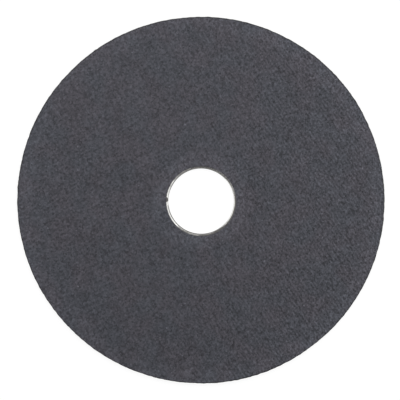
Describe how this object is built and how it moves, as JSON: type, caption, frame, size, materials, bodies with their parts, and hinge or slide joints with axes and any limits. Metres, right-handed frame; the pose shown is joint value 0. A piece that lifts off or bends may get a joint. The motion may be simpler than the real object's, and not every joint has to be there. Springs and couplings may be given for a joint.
{
  "type": "cut-off wheel",
  "caption": "Flat round abrasive cut-off wheel in dark grey, reinforced with glass cloth, its arbor bore lined by a bright pressed metal ring.",
  "frame": {"origin": "on the wheel's axis, in the plane of the back face that it lies on", "axes": "+Z along the bore axis, from the flanged back face towards the pictured front face"},
  "size_m": [0.125, 0.125, 0.0016],
  "materials": {
    "bonded_abrasive": "matt pressed grit in dark resin, with the weave of the glass cloth showing faintly through the faces",
    "tinned_steel": "bright tin plate with press marks and a little dark resin left on the lip"
  },
  "bodies": {
    "root": {"abrasive_disc": "bonded_abrasive", "arbor_ring": "tinned_steel"}
  },
  "joints": []
}
